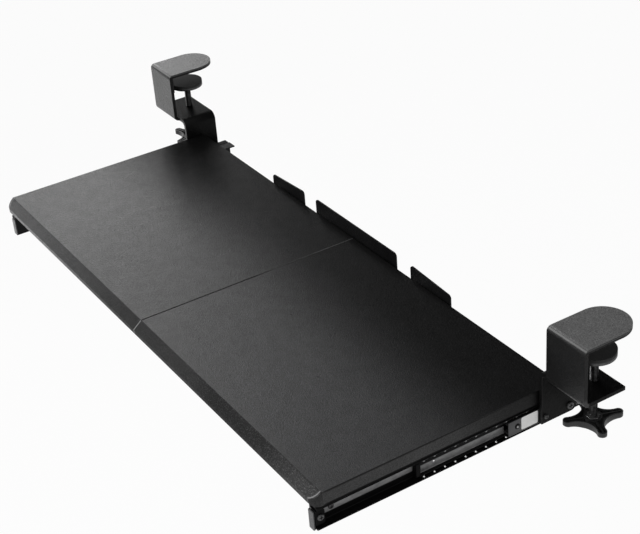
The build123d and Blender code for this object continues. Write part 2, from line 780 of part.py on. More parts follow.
# Right clamp screw, from its hexagon head up into the pad's socket
rod_top = pad_bottom - rod_clearance
with BuildPart() as right_clamp_screw:
    with BuildSketch(Plane.XY.offset(knob_top + insert_proud)):
        with Locations((hook_middle, screw_y)):
            Circle(rod_diameter / 2)
    extrude(amount=rod_top - knob_top - insert_proud)
right_clamp_screw.part.label = "right_clamp_screw"
export_step(right_clamp_screw.part, "parts/right_clamp_screw.step")

with BuildPart() as left_clamp_screw:
    mirror(right_clamp_screw.part, about=Plane.YZ)
left_clamp_screw.part.label = "left_clamp_screw"
export_step(left_clamp_screw.part, "parts/left_clamp_screw.step")

# Right pressure pad: a steel disc with a socket below for the screw's end
with BuildPart() as right_clamp_pad:
    with BuildSketch(Plane.XY.offset(pad_bottom)):
        with Locations((hook_middle, screw_y)):
            Circle(pad_diameter / 2)
    extrude(amount=pad_plate)
    with BuildSketch(Plane.XY.offset(pad_bottom)):
        with Locations((hook_middle, screw_y)):
            RegularPolygon(pad_socket / 2, head_sides)
            Circle(rod_diameter / 2 + rod_clearance, mode=Mode.SUBTRACT)
    extrude(amount=-socket_depth)
right_clamp_pad.part.label = "right_clamp_pad"
export_step(right_clamp_pad.part, "parts/right_clamp_pad.step")

with BuildPart() as left_clamp_pad:
    mirror(right_clamp_pad.part, about=Plane.YZ)
left_clamp_pad.part.label = "left_clamp_pad"
export_step(left_clamp_pad.part, "parts/left_clamp_pad.step")

# Right rubber face of the pad
with BuildPart() as right_pad_rubber:
    with BuildSketch(Plane.XY.offset(pad_rubber_bottom)):
        with Locations((hook_middle, screw_y)):
            Circle(pad_diameter / 2)
    extrude(amount=pad_rubber)
right_pad_rubber.part.label = "right_pad_rubber"
export_step(right_pad_rubber.part, "parts/right_pad_rubber.step")

with BuildPart() as left_pad_rubber:
    mirror(right_pad_rubber.part, about=Plane.YZ)
left_pad_rubber.part.label = "left_pad_rubber"
export_step(left_pad_rubber.part, "parts/left_pad_rubber.step")

# Outline of the knob: four round tips joined by hollow arcs, and where the centres of the arcs lie
tip_reach = knob_radius - knob_tip
waist_gap = knob_waist - knob_tip
hollow_reach = (tip_reach**2 - waist_gap**2) / (sqrt(2) * tip_reach - 2 * waist_gap)
hollow_radius = hollow_reach - knob_waist
hollow_angle = degrees(atan2(hollow_reach / sqrt(2), hollow_reach / sqrt(2) - tip_reach))
knob_axis = Plane(origin=(hook_middle, screw_y, 0))
pocket_floor = knob_top - knob_tip_height + knob_floor

# Right star knob: thin walls, a rib along each arm and a hub, open upwards, on a bottom that rises to its tips
with BuildPart() as right_star_knob:
    for floor, inset, mode in ((knob_bottom, 0, Mode.ADD), (pocket_floor, knob_wall, Mode.SUBTRACT)):
        with BuildSketch(knob_axis.offset(floor)):
            with BuildLine():
                for arm in range(4):
                    heading = radians(knob_turn + 90 * arm)
                    CenterArc(
                        (tip_reach * cos(heading), tip_reach * sin(heading)),
                        knob_tip - inset,
                        knob_turn + 90 * arm - hollow_angle,
                        2 * hollow_angle,
                    )
                    heading = radians(knob_turn + 90 * arm + 45)
                    CenterArc(
                        (hollow_reach * cos(heading), hollow_reach * sin(heading)),
                        hollow_radius + inset,
                        knob_turn + 90 * arm + 180 + hollow_angle,
                        90 - 2 * hollow_angle,
                    )
            make_face()
            if inset:
                Rectangle(2 * knob_radius, knob_rib, rotation=knob_turn, mode=Mode.SUBTRACT)
                Rectangle(2 * knob_radius, knob_rib, rotation=knob_turn + 90, mode=Mode.SUBTRACT)
                Circle(hub_diameter / 2, mode=Mode.SUBTRACT)
        extrude(amount=knob_top - floor, mode=mode)
    with BuildSketch(knob_axis.offset(knob_bottom + knob_floor)):
        RegularPolygon(insert_flats / 2, 6, major_radius=False)
    extrude(amount=knob_height - knob_floor, mode=Mode.SUBTRACT)
    # the underside of each arm slopes up towards its tip
    for arm in range(4):
        heading = radians(knob_turn + 90 * arm)
        along = (cos(heading), sin(heading), 0)
        across = (sin(heading), -cos(heading), 0)
        with BuildSketch(Plane(origin=(hook_middle, screw_y, 0), x_dir=along, z_dir=across)):
            with BuildLine():
                Polyline(
                    (knob_flat, knob_bottom),
                    (knob_radius, knob_bottom),
                    (knob_radius, knob_top - knob_tip_height),
                    close=True,
                )
            make_face()
        extrude(amount=knob_radius, both=True, mode=Mode.SUBTRACT)
right_star_knob.part.label = "right_star_knob"
export_step(right_star_knob.part, "parts/right_star_knob.step")

with BuildPart() as left_star_knob:
    mirror(right_star_knob.part, about=Plane.YZ)
left_star_knob.part.label = "left_star_knob"
export_step(left_star_knob.part, "parts/left_star_knob.step")

# Right hexagon head of the clamp screw, held in the knob's hub
with BuildPart() as right_knob_nut:
    with BuildSketch(Plane.XY.offset(knob_bottom + knob_floor)):
        with Locations((hook_middle, screw_y)):
            RegularPolygon(insert_flats / 2 - insert_clearance, 6, major_radius=False)
    extrude(amount=knob_height - knob_floor + insert_proud)
right_knob_nut.part.label = "right_knob_nut"
export_step(right_knob_nut.part, "parts/right_knob_nut.step")

with BuildPart() as left_knob_nut:
    mirror(right_knob_nut.part, about=Plane.YZ)
left_knob_nut.part.label = "left_knob_nut"
export_step(left_knob_nut.part, "parts/left_knob_nut.step")

# Right side screws' heads: they hold the fixed rail to the side plate
with BuildPart() as right_side_screws:
    with BuildSketch(Plane.YZ.offset(side_outer)):
        with Locations((front_side_screw, rail_mid)):
            RegularPolygon(front_side_head / 2, head_sides)
        with Locations((rear_side_screw, rail_mid)):
            RegularPolygon(rear_side_head / 2, head_sides)
    extrude(amount=side_head_height)
    chamfer(right_side_screws.faces().group_by(Axis.X)[-1].edges(), length=side_head_chamfer)
right_side_screws.part.label = "right_side_screws"
export_step(right_side_screws.part, "parts/right_side_screws.step")

with BuildPart() as left_side_screws:
    mirror(right_side_screws.part, about=Plane.YZ)
left_side_screws.part.label = "left_side_screws"
export_step(left_side_screws.part, "parts/left_side_screws.step")
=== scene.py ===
"""Looks of the clamp-on sliding tray: finishes, threads, balls, screw heads, weld beads, lamps and camera.
Metres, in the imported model's frame: +X right along the platform, +Y from its front to its back, +Z up."""

import math

import bmesh
import bpy
from mathutils import Euler, Matrix, Vector


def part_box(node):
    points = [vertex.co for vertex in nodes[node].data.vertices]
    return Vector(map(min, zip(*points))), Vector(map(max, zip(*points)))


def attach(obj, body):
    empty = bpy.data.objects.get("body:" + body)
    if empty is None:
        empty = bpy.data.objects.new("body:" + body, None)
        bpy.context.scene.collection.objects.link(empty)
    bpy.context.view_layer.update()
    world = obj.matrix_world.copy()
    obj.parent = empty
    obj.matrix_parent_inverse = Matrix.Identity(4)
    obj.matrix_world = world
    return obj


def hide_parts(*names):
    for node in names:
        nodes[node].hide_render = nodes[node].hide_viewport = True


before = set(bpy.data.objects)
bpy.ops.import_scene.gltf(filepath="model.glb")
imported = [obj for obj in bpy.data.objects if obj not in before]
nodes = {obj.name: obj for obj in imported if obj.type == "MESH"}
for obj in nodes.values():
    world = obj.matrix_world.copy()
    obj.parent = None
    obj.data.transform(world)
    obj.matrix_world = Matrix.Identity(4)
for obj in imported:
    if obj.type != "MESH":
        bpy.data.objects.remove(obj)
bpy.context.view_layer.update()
OUTWARD = {"left": -1, "right": 1}


# Shader writing.


class Flow:
    """One output socket. Arithmetic on it adds Math nodes to its finish."""

    def __init__(self, finish, socket):
        self.finish = finish
        self.socket = socket

    def maths(self, operation, *values):
        return self.finish.node("ShaderNodeMath", {"operation": operation}, dict(enumerate(values)))[0]

    def __add__(self, other):
        return self.maths("ADD", self, other)

    def __radd__(self, other):
        return self.maths("ADD", other, self)

    def __sub__(self, other):
        return self.maths("SUBTRACT", self, other)

    def __rsub__(self, other):
        return self.maths("SUBTRACT", other, self)

    def __mul__(self, other):
        return self.maths("MULTIPLY", self, other)

    def __rmul__(self, other):
        return self.maths("MULTIPLY", other, self)

    def __abs__(self):
        return self.maths("ABSOLUTE", self)

    def root(self):
        return self.maths("SQRT", self)

    def at_least(self, other):
        return self.maths("MAXIMUM", self, other)

    def fade(self, none, full):
        """0 at the value none and beyond it, 1 at the value full and beyond it, smooth between them."""
        made = self.finish.node(
            "ShaderNodeMapRange",
            {"interpolation_type": "SMOOTHSTEP"},
            {"Value": self, "From Min": none, "From Max": full, "To Min": 0.0, "To Max": 1.0},
        )
        return made["Result"]


class Outputs:
    """A node's output sockets, each taken as a Flow by its name or number."""

    def __init__(self, finish, made):
        self.finish = finish
        self.made = made

    def __getitem__(self, key):
        return Flow(self.finish, self.made.outputs[key])


def colour(value):
    """A grey level, a red-green-blue triple or a Flow, as a colour socket takes it."""
    if isinstance(value, float):
        return (value, value, value, 1.0)
    if isinstance(value, tuple):
        return (*value, 1.0)
    return value


class Finish:
    """A node material, or the studio's world, that is written as expressions."""

    # the dark matt grey of painted shade and of dull grains
    SHADE_GREY = 0.003

    def __init__(self, name, kind="materials", coordinate="Object"):
        self.material = getattr(bpy.data, kind).new(name)
        self.material.use_nodes = True
        self.tree = self.material.node_tree
        self.tree.nodes.clear()
        self.place = self.node("ShaderNodeTexCoord")[coordinate]
        split = self.node("ShaderNodeSeparateXYZ", {}, {0: self.place})
        self.x, self.y, self.z = split["X"], split["Y"], split["Z"]

    def node(self, kind, settings=None, inputs=None):
        """A new node: settings are its own values, and inputs gives its sockets a constant or a Flow each."""
        made = self.tree.nodes.new(kind)
        for name, value in (settings or {}).items():
            setattr(made, name, value)
        for name, value in (inputs or {}).items():
            if isinstance(value, Flow):
                self.tree.links.new(value.socket, made.inputs[name])
            else:
                made.inputs[name].default_value = value
        return Outputs(self, made)

    def noise(self, scale, detail, roughness, stretch=None):
        where = self.place
        if stretch:
            where = self.node("ShaderNodeVectorMath", {"operation": "MULTIPLY"}, {0: where, 1: stretch})[0]
        inputs = {"Vector": where, "Scale": scale, "Detail": detail, "Roughness": roughness}
        return self.node("ShaderNodeTexNoise", {}, inputs)[0]

    def cells(self, scale):
        return self.node("ShaderNodeTexVoronoi", {}, {"Vector": self.place, "Scale": scale})["Distance"]

    def mix(self, share, first, second):
        """The colour first, with a share of the colour second over it."""
        inputs = {0: share, 6: colour(first), 7: colour(second)}
        return self.node("ShaderNodeMix", {"data_type": "RGBA"}, inputs)[2]

    def bump(self, height, distance, strength):
        inputs = {"Height": height, "Distance": distance, "Strength": strength}
        return self.node("ShaderNodeBump", {}, inputs)["Normal"]

    def close(self, shade_and_dullness=None, **sockets):
        """The surface itself: keyword names are the shader's sockets, with _ for spaces.
        Where the share of painted shade and dullness is above 0, that share of the sheen gives way to a dark
        matt grey:
        painted shade, and on the board also dull grains and the dark seam gap."""
        inputs = {name.replace("_", " "): value for name, value in sockets.items()}
        shader = self.node("ShaderNodeBsdfPrincipled", {}, inputs)[0]
        if shade_and_dullness is not None:
            matt = self.node("ShaderNodeBsdfDiffuse", {}, {"Color": colour(self.SHADE_GREY)})[0]
            shader = self.node("ShaderNodeMixShader", {}, {0: shade_and_dullness, 1: shader, 2: matt})[0]
        self.node("ShaderNodeOutputMaterial", {}, {"Surface": shader})
        return self.material


# Places that the finishes and the pieces made here share.


def middle_of(name):
    low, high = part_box(name)
    return (Vector(low) + Vector(high)) / 2


BOARD_LOW, BOARD_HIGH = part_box("platform_right")
BOARD_TOP, BOARD_HALF, BOARD_FRONT = BOARD_HIGH[2], BOARD_HIGH[0], BOARD_LOW[1]
BOARD_BOTTOM = BOARD_LOW[2]
CREASE_RADIUS = 0.0102
CREASE_INSET = 0.0125
HOOK_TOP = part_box("right_clamp_bracket")[1][2]
RAIL_LEVEL = middle_of("right_rail_outer").z
# a web's painted pale band: its lowest and highest level, and the X of the web's outer face
OUTER_WEB = (-0.1098, -0.0972, 0.3320)
MIDDLE_WEB = (-0.1145, -0.1055, 0.3350)


# Finishes. Colours are linear: a grey level, or red, green and blue. The two values of a fade are metres on
# an axis or levels of a noise.

BOARD_BLACK = (0.003, 0.003, 0.0033)
BOARD_MOTTLE = (0.010, 0.010, 0.0103)
BOARD_CLOUD = (0.009, 0.009, 0.0093)
# a paler tone for the front right of the top
BOARD_PALER = (0.034, 0.034, 0.035)
BOARD_SPECK = (0.070, 0.070, 0.072)
# painted highlights and sheen: glints on the front bevel, its round corner edge and the seam, and its paler
# left end
BOARD_SPARK = (0.330, 0.330, 0.332)
BEVEL_SHEEN_TONE = (0.055, 0.055, 0.056)
HIGHLIGHT_TONE = (0.30, 0.30, 0.302)
# a small factor draws a noise out along that axis
FRONT_TO_BACK = (1.0, 0.25, 1.0)
DRAWING_LINES = (1.0, 0.02, 1.0)
LONG_STAINS = (1.0, 0.45, 1.0)
BRUSHED_UPRIGHT = (1.0, 1.0, 0.15)


def board_finish():
    """Black laminate with a pebbled skin: shallow cells, fine grain, a few pale specks and rubbed streaks."""
    f = Finish("board_laminate")

    def depth(none, full):
        """A fade between two depths under the board's top."""
        return f.z.fade(BOARD_TOP - none, BOARD_TOP - full)

    pebble = f.cells(880)
    grain = f.noise(1300, 3, 0.7)
    mottle = f.noise(520, 3, 0.65)
    cloud = f.noise(14, 3, 0.55)
    specks = f.cells(260).fade(0.09, 0.03)
    rubbed = f.noise(60, 4, 0.7, FRONT_TO_BACK).fade(0.55, 0.75)
    tone = f.mix(mottle.fade(0.38, 0.62), BOARD_BLACK, BOARD_MOTTLE)
    tone = f.mix(cloud.fade(0.35, 0.7) * 0.5, tone, BOARD_CLOUD)
    # the top is paler towards the front right
    paler_front_right = f.x.fade(-0.06, 0.26) * f.y.fade(-0.02, -0.17) * depth(0.0006, 0.0001)
    tone = f.mix(paler_front_right * 0.85, tone, BOARD_PALER)
    tone = f.mix(specks * 0.5, tone, BOARD_SPECK)

    # the pressed front bevel is coarser; painted highlights mark points where it catches light and its round
    # corner edges, and a painted sheen makes its left end paler
    sideways = (abs(f.x) - (BOARD_HALF - CREASE_INSET)).at_least(0)
    forwards = (BOARD_FRONT + CREASE_RADIUS - f.y).at_least(0)
    reach = (sideways * sideways + forwards * forwards).root()
    edge = abs(reach - CREASE_RADIUS).fade(0.0009, 0.0002)
    edge = edge * sideways.fade(0.0015, 0.0050) * forwards.fade(0.0, 0.0010)
    sloped = depth(0.0001, 0.0006) * forwards.fade(0.0, 0.0005)
    sloped = sloped * reach.fade(CREASE_RADIUS + 0.0004, CREASE_RADIUS - 0.0004)
    pressed = f.x.fade(0.02, 0.28)
    sparks = f.noise(780, 3, 0.85).fade(0.55, 0.63) * sloped * pressed
    pits = f.noise(540, 2, 0.7).fade(0.48, 0.60) * sloped * pressed
    bevel_left_sheen = sloped * f.x.fade(-0.13, -0.34)
    tone = f.mix(sparks * 0.9, tone, BOARD_SPARK)
    tone = f.mix(bevel_left_sheen, tone, BEVEL_SHEEN_TONE)
    tone = f.mix(edge * 0.9, tone, HIGHLIGHT_TONE)

    # painted highlight: the edge at the seam that faces right is painted pale on the bevel and near the back
    # stops only
    seam = f.x.fade(-0.0017, -0.0009) * f.x.fade(0.0, -0.0001)
    bevelled = depth(0.0004, 0.0010) * forwards.fade(0.0, 0.0005)
    topmost = depth(0.0008, 0.0002)
    seam = seam * bevelled.at_least(topmost * f.y.fade(-0.08, -0.01) * 0.35)
    tone = f.mix(seam * 0.9, tone, HIGHLIGHT_TONE)
    gap = abs(f.x).fade(0.0011, 0.0005) * depth(0.0004, 0.0001) * f.y.fade(-0.06, -0.11)

    # painted shade: the front bevel is darker in its middle, on the sides a dark line runs below the top and
    # at the bottom, the crease at the bevel's top edge is darker, and the rear of the board is darker and
    # matt
    middle = f.x.fade(-0.20, 0.0) * 0.50
    right_of_middle = f.x.fade(0.10, 0.17) * f.x.fade(0.32, 0.22) * 0.18
    right_end = f.x.fade(0.26, 0.34) * 0.25
    front = (middle + right_of_middle - right_end) * depth(0.0001, 0.0006)
    front = front * f.y.fade(BOARD_FRONT + 0.0104, BOARD_FRONT + 0.0098)
    beside = sideways.fade(0.0, 0.001) * f.y.fade(BOARD_FRONT + 0.006, BOARD_FRONT + 0.016)
    rim = depth(0.0030, 0.0012) * depth(0.00005, 0.0004)
    bottom = f.z.fade(BOARD_BOTTOM + 0.0018, BOARD_BOTTOM + 0.0010)
    rear_shade = f.y.fade(-0.14, -0.02) * 0.62
    crease = depth(0.0, 0.0003) * depth(0.0018, 0.0010) * forwards.fade(0.0, 0.0003) * pressed
    # dark: painted shade, with darker pits and the dark seam gap
    dark = ((rim * 0.7).at_least(bottom * 0.8) * beside).at_least(front).at_least(pits * 0.55)
    dark = dark.at_least(rear_shade).at_least(crease * 0.55)
    dark = (dark * (1 - edge.at_least(seam))).at_least(gap * 0.85)

    # fine dull grains and larger dull clouds break up the sheen
    dull = f.noise(640, 3, 0.8).fade(0.40, 0.60) * 0.26 + f.noise(75, 3, 0.6).fade(0.35, 0.65) * 0.07
    return f.close(
        shade_and_dullness=dark + (1 - dark) * dull,
        Base_Color=tone,
        Roughness=0.31 + (mottle - 0.5) * 0.28 + cloud * 0.05 - rubbed * 0.03,
        Normal=f.bump(pebble * 0.6 + grain * 0.8 + mottle * 0.8 + sparks * 1.2, 0.00042, 0.5),
        Specular_IOR_Level=0.42,
    )


def coat_finish(name, dark, pale, grain_size, shine, topside=None, lip=None):
    """Powder coat: an orange-peel skin over fine grain, with a few paler rubbed spots.
    With a topside level, the hooks' tops are painted as pale as that, a painted sheen, with a painted
    highlight along the edges just below them, and the clamps' cut edges and what hangs behind their front
    plates are in painted shade, darker and matt. With a lip, the front at that Y is painted pale, as a
    painted highlight."""
    f = Finish(name)
    peel = f.noise(1 / grain_size, 3, 0.6)
    ripple = f.noise(0.3 / grain_size, 2, 0.5)
    cloud = f.noise(22, 3, 0.55)
    rubbed = f.noise(240, 4, 0.75).fade(0.66, 0.78)
    tone = f.mix(cloud.fade(0.3, 0.7), dark, pale)
    tone = f.mix(rubbed * 0.25, tone, tuple(3 * level for level in pale))
    matt = None
    if topside is not None:
        # painted sheen: the hooks' tops are painted as pale as the topside level, broken by a fine noise
        dust = f.noise(900, 3, 0.7).fade(0.40, 0.62)
        top_sheen = f.z.fade(HOOK_TOP - 0.0008, HOOK_TOP - 0.0002) * (0.55 + 0.45 * dust)
        # painted highlight: a pale band along the edges just below each hook's top
        painted_highlight = f.z.fade(HOOK_TOP - 0.0024, HOOK_TOP - 0.0015) * f.z.fade(HOOK_TOP - 0.0004, HOOK_TOP - 0.0010)
        tone = f.mix(top_sheen, tone, topside)
        tone = f.mix(painted_highlight * (0.5 + 0.5 * rubbed), tone, 1.9 * topside)
        # painted shade: the clamps' cut edges and what hangs behind their front plates are darker and matt
        normal = f.node("ShaderNodeSeparateXYZ", {}, {0: f.node("ShaderNodeNewGeometry")["True Normal"]})
        shade_on_cut_edges = normal["X"].at_least(normal["Y"]).fade(0.5, 0.8) * f.z.fade(-0.0500, -0.0450)
        shade_behind_plates = f.z.fade(-0.0200, -0.0300) * f.y.fade(-0.0012, 0.0004)
        matt = (shade_behind_plates * 0.75).at_least(shade_on_cut_edges * 0.55)
    if lip is not None:
        # painted highlight: the bracket's front is painted pale
        tone = f.mix(f.y.fade(lip + 0.0014, lip + 0.0006), tone, (0.12, 0.12, 0.122))
    return f.close(
        shade_and_dullness=matt,
        Base_Color=tone,
        Roughness=0.36 + (peel - 0.5) * 0.22 - rubbed * 0.05,
        Normal=f.bump(peel + ripple * 0.8, 0.6 * grain_size, 0.6),
        Specular_IOR_Level=shine,
    )


def rail_finish(name, low, high, face):
    """Black-plated rail with fine drawing lines. Its web is painted paler between two levels and up to its
    outer face, a painted reflection, and its raceways are greased and in painted shade, black and matt."""
    f = Finish(name)
    lines = f.noise(900, 3, 0.6, DRAWING_LINES)
    cloud = f.noise(45, 3, 0.6)
    web = f.z.fade(low - 0.0008, low + 0.0006) * f.z.fade(high + 0.0006, high - 0.0008)
    web = web * abs(f.x).fade(face + 0.0012, face + 0.0004)
    stain = f.noise(210, 3, 0.65, LONG_STAINS).fade(0.38, 0.66)
    tone = f.mix(web, (0.005, 0.005, 0.0053), (0.32, 0.32, 0.322))
    tone = f.mix(stain * web * 0.5, tone, (0.13, 0.13, 0.132))
    tone = f.mix(cloud.fade(0.5, 0.8) * 0.3, tone, (0.04, 0.04, 0.042))
    return f.close(
        # painted shade: the raceways lose most of their sheen
        shade_and_dullness=(1 - web) * 0.6,
        Base_Color=tone,
        Metallic=web * 0.30,
        Roughness=0.34 + lines * 0.18 + cloud * 0.06,
        Normal=f.bump(lines, 0.00004, 0.5),
        Specular_IOR_Level=0.25,
    )


def fixed_rail_finish():
    """Dark plating with fine drawing lines and wide paler clouds."""
    f = Finish("plated_fixed_rail")
    lines = f.noise(900, 3, 0.6, DRAWING_LINES)
    cloud = f.noise(45, 3, 0.6)
    return f.close(
        Base_Color=f.mix(cloud.fade(0.35, 0.75), (0.050, 0.050, 0.052), (0.075, 0.075, 0.077)),
        Metallic=0.6,
        Roughness=0.36 + lines * 0.16,
        Normal=f.bump(lines, 0.00004, 0.5),
    )


def rivet_finish():
    """A blackened rivet head with a painted highlight near its middle."""
    f = Finish("highlighted_rivet")
    rivet = middle_of("right_rail_rivet")
    across, above = f.y - rivet.y, f.z - rivet.z + 0.0004
    # painted highlight: a bright spot a little below the head's middle
    painted_highlight = (across * across + above * above).root().fade(0.0013, 0.0006)
    painted_highlight = painted_highlight * f.noise(900, 2, 0.6).fade(0.30, 0.55)
    return f.close(
        Base_Color=f.mix(painted_highlight, 0.010, 0.62),
        Metallic=0.7,
        Roughness=0.42 - painted_highlight * 0.2,
        Specular_IOR_Level=0.2,
    )


def plated_finish(name, dull, bright, rough):
    """Oxide or zinc plating: brushed a little, duller in patches."""
    f = Finish(name)
    brushed = f.noise(2600, 2, 0.5, BRUSHED_UPRIGHT)
    patches = f.noise(320, 4, 0.65)
    return f.close(
        Base_Color=f.mix(patches.fade(0.3, 0.7), dull, bright),
        Metallic=0.9,
        Roughness=rough + patches * 0.14 + brushed * 0.06,
        Normal=f.bump(brushed, 0.00003, 0.4),
    )


def polished_finish():
    """Bright steel under a thin uneven film."""
    f = Finish("polished_steel")
    film = f.noise(900, 3, 0.6)
    return f.close(
        Base_Color=f.mix(film.fade(0.4, 0.7), 0.72, 0.86),
        Metallic=1.0,
        Roughness=0.10 + film * 0.10,
        Normal=f.bump(film, 0.00001, 0.2),
    )


def moulded_finish(name, dark, pale, shine):
    """Satin moulded plastic with a fine spark-eroded skin and faint flow clouds."""
    f = Finish(name)
    spark = f.noise(2200, 2, 0.5)
    flow = f.noise(70, 3, 0.6)
    return f.close(
        Base_Color=f.mix(flow.fade(0.3, 0.7), dark, pale),
        Roughness=0.36 + spark * 0.12 + flow * 0.05,
        Normal=f.bump(spark, 0.00006, 0.5),
        Specular_IOR_Level=shine,
    )


def rubber_finish():
    """Matt rubber with a little dust."""
    f = Finish("soft_rubber")
    dust = f.noise(500, 4, 0.7)
    skin = f.noise(3000, 2, 0.5)
    return f.close(
        Base_Color=f.mix(dust.fade(0.52, 0.72), 0.013, (0.034, 0.033, 0.032)),
        Roughness=0.72 + dust * 0.15,
        Normal=f.bump(skin, 0.00006, 0.5),
    )


def label_finish():
    """White paper with faint fibres."""
    f = Finish("blank_label")
    fibre = f.noise(1800, 3, 0.6)
    return f.close(
        Base_Color=f.mix(fibre.fade(0.4, 0.7), (0.88, 0.88, 0.87), (0.93, 0.93, 0.92)),
        Roughness=0.42 + fibre * 0.1,
        Normal=f.bump(fibre, 0.00002, 0.3),
    )


# dark and pale tones, grain size and shine
COARSE_LOOK = ((0.004, 0.004, 0.0042), (0.010, 0.010, 0.0103), 0.0011, 0.34)
FINE_LOOK = ((0.004, 0.004, 0.0043), (0.009, 0.009, 0.0093), 0.0008, 0.10)

BOARD = board_finish()
BLACK_COAT = coat_finish("black_coat", *COARSE_LOOK, topside=0.150)
FINE_COAT = coat_finish("fine_black_coat", *FINE_LOOK)
BRACKET_COAT = coat_finish("bracket_black_coat", *FINE_LOOK, lip=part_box("right_rail_bracket")[0][1])
OUTER_RAIL = rail_finish("plated_outer_rail", *OUTER_WEB)
MIDDLE_RAIL = rail_finish("plated_middle_rail", *MIDDLE_WEB)
RIVET = rivet_finish()
FIXED_RAIL = fixed_rail_finish()
BRIGHT_OXIDE = plated_finish("bright_black_oxide", (0.16, 0.16, 0.162), 0.30, 0.20)
OILED_ROD = plated_finish("oiled_rod", (0.04, 0.04, 0.041), 0.15, 0.20)
BLACK_OXIDE = plated_finish("black_oxide", (0.05, 0.05, 0.052), 0.10, 0.34)
CAGE_EDGE = plated_finish("rubbed_cage_edge", 0.05, 0.11, 0.36)
# painted shade: a darker, duller copy of the polished ball steel for the upper row of balls
SHADED_BALL_STEEL = plated_finish("shaded_ball_steel", 0.16, 0.28, 0.26)
CAGE = plated_finish("black_cage", 0.004, 0.010, 0.40)
POLISHED = polished_finish()
MOULDED = moulded_finish("moulded_plastic", (0.010, 0.010, 0.0105), (0.018, 0.018, 0.0185), 0.40)
DARK_MOULDED = moulded_finish("dark_moulded_plastic", (0.002, 0.002, 0.0022), (0.005, 0.005, 0.0052), 0.04)
RUBBER = rubber_finish()
LABEL = label_finish()


# Solids carried over from the CAD model get their finish and softened edges.

JOIN_DISTANCE = 0.000001
SHARP_ANGLE = math.radians(32)


def dress(name, material, width, segments=2):
    piece = nodes[name]
    piece.data.materials.clear()
    piece.data.materials.append(material)
    weld = piece.modifiers.new("join", "WELD")
    weld.merge_threshold = JOIN_DISTANCE
    rounding = piece.modifiers.new("edges", "BEVEL")
    rounding.width = width
    rounding.segments = segments
    rounding.limit_method = "ANGLE"
    rounding.angle_limit = SHARP_ANGLE
    rounding.harden_normals = True
    rounding.use_clamp_overlap = True


for side in OUTWARD:
    dress(f"platform_{side}", BOARD, 0.0009, 3)
    dress(f"backstop_{side}", FINE_COAT, 0.0004)
    dress(f"{side}_rail_bracket", BRACKET_COAT, 0.0004)
    dress(f"{side}_rail_outer", OUTER_RAIL, 0.0003)
    dress(f"{side}_rail_middle", MIDDLE_RAIL, 0.0003)
    dress(f"{side}_rail_fixed", FIXED_RAIL, 0.0003)
    dress(f"{side}_rail_cage", CAGE, 0.0001)
    dress(f"{side}_inner_cage", CAGE, 0.0001)
    dress(f"{side}_rail_bumper", DARK_MOULDED, 0.0005)
    dress(f"{side}_middle_stop", DARK_MOULDED, 0.0003)
    dress(f"{side}_clamp_bracket", BLACK_COAT, 0.0006, 3)
    dress(f"{side}_clamp_liner", RUBBER, 0.0004)
    dress(f"{side}_clamp_nut", BLACK_OXIDE, 0.0004)
    dress(f"{side}_star_knob", MOULDED, 0.0005, 3)
    dress(f"{side}_knob_nut", BRIGHT_OXIDE, 0.0003)
    dress(f"{side}_clamp_pad", BLACK_OXIDE, 0.0005)
    dress(f"{side}_pad_rubber", RUBBER, 0.0006)
for name in ("backstop_centre", "joining_plate_front", "joining_plate_rear"):
    dress(name, FINE_COAT, 0.0004)


# Pieces made here. Profiles are (radius, height) pairs about an axis.

SAME_SPOT = 0.00001


def finished_piece(name, material, body, build, *values, replaced=(), slot=None, smooth=30):
    """A mesh on its body. The build function gets an empty bmesh in the model's frame, then the values."""
    mesh = bpy.data.meshes.new(name)
    shell = bmesh.new()
    build(shell, *values)
    bmesh.ops.recalc_face_normals(shell, faces=shell.faces)
    shell.to_mesh(mesh)
    shell.free()
    mesh.materials.append(material)
    mesh.shade_smooth()
    mesh.set_sharp_from_angle(angle=math.radians(smooth))
    piece = bpy.data.objects.new(name, mesh)
    bpy.context.scene.collection.objects.link(piece)
    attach(piece, body)
    if replaced:
        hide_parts(*replaced)


def bridge(shell, rings):
    """Quads between each ring of vertices and the next."""
    for lower, upper in zip(rings, rings[1:]):
        for step in range(len(lower)):
            ahead = (step + 1) % len(lower)
            shell.faces.new((lower[step], lower[ahead], upper[ahead], upper[step]))


def closed_stack(shell, rings):
    """Rings bridged and closed at both ends."""
    bridge(shell, rings)
    shell.faces.new(list(reversed(rings[0])))
    shell.faces.new(rings[-1])


def revolve(shell, profile, place, turns):
    """A closed body of revolution about the place matrix's local Z."""
    rings = []
    for radius, height in profile:
        ring = []
        for step in range(turns):
            angle = 2 * math.pi * step / turns
            spot = Vector((radius * math.cos(angle), radius * math.sin(angle), height))
            ring.append(shell.verts.new(place @ spot))
        rings.append(ring)
    closed_stack(shell, rings)


def facing(x, y, z, direction):
    """A matrix at a point, with local Z along direction (+1 or -1) times X."""
    turn = Matrix.Rotation(math.radians(90 * direction), 4, "Y")
    return Matrix.Translation((x, y, z)) @ turn


def inward_face(name, out):
    """The X of the side of a node that faces the middle of the tray."""
    low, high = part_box(name)
    return low[0] if out > 0 else high[0]


def solid_middles(name):
    """The middles of the separate solids of a CAD node: balls or screw heads."""
    loose = bmesh.new()
    loose.from_mesh(nodes[name].data)
    bmesh.ops.remove_doubles(loose, verts=loose.verts, dist=SAME_SPOT)
    seen, middles = set(), []
    for start in loose.verts:
        if start in seen:
            continue
        group, stack = [], [start]
        seen.add(start)
        while stack:
            vertex = stack.pop()
            group.append(vertex.co.copy())
            for edge in vertex.link_edges:
                other = edge.other_vert(vertex)
                if other not in seen:
                    seen.add(other)
                    stack.append(other)
        low = Vector([min(p[i] for p in group) for i in range(3)])
        high = Vector([max(p[i] for p in group) for i in range(3)])
        middles.append((low + high) / 2)
    loose.free()
    return middles


# Balls and the turned edge of the outer cage.

